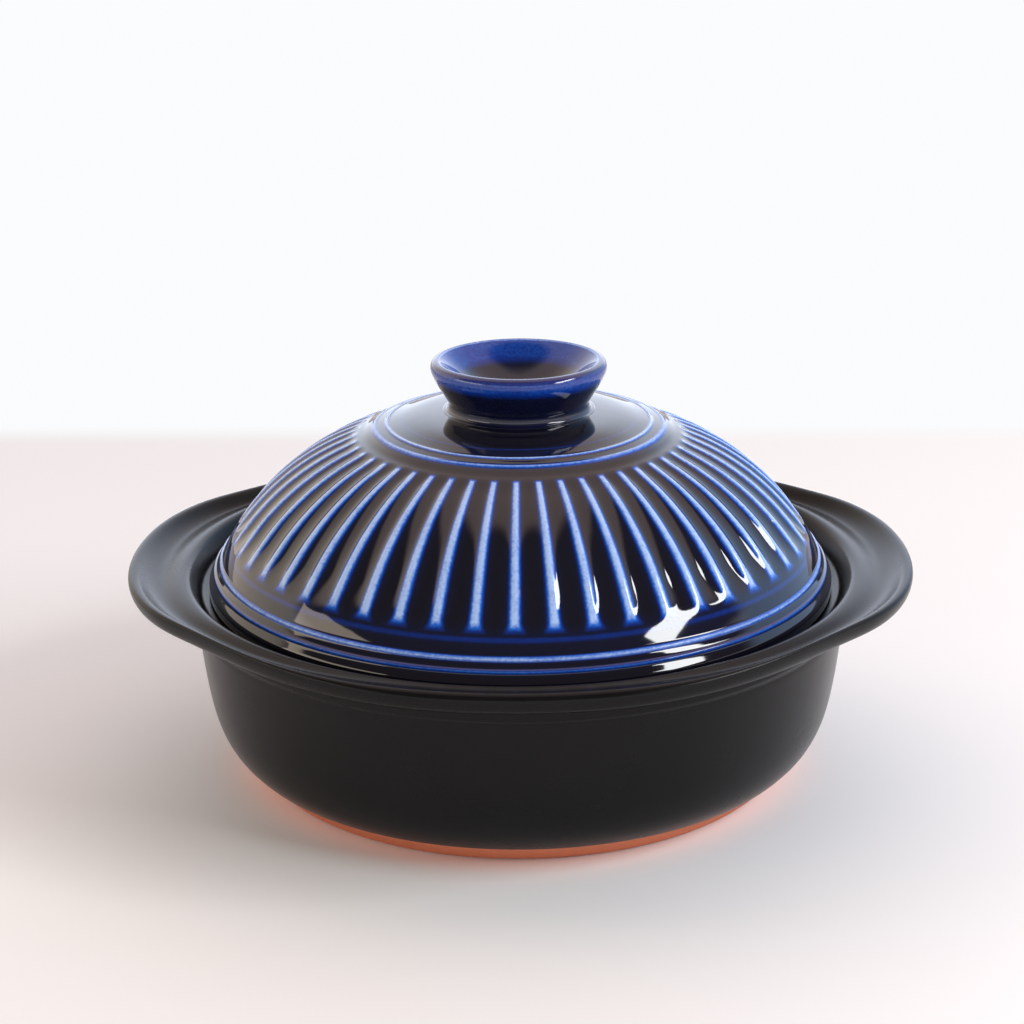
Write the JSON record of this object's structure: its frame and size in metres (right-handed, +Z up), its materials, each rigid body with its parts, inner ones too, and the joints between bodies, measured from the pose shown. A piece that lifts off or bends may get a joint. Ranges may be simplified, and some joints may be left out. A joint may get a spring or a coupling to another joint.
{
  "type": "clay pot with lid",
  "caption": "Wide clay cooking pot with winged lugs, a ledge inside its rim, and a fluted domed lid that lifts off by a dished knob.",
  "frame": {"origin": "middle of the foot, on the surface that the pot stands on", "axes": "+Z up through the knob, +X along the two lugs, +Y away from the viewer of the picture"},
  "size_m": [0.2814, 0.256, 0.1478],
  "materials": {
    "pot_glaze": "satin black glaze, with a bare terracotta band at the foot and a bare underside",
    "lid_glaze": "glossy deep cobalt glaze that breaks pale blue on the edges of the flutes",
    "knob_glaze": "glossy deep cobalt glaze, a little paler on the lip"
  },
  "bodies": {
    "pot": {"pot": "pot_glaze"},
    "lid": {"lid": "lid_glaze", "knob": "knob_glaze"}
  },
  "joints": [
    {"name": "lid_lift", "type": "slide", "parent": "pot", "child": "lid", "axis": [0, 0, 1], "range_m": [0, 0.12]}
  ]
}
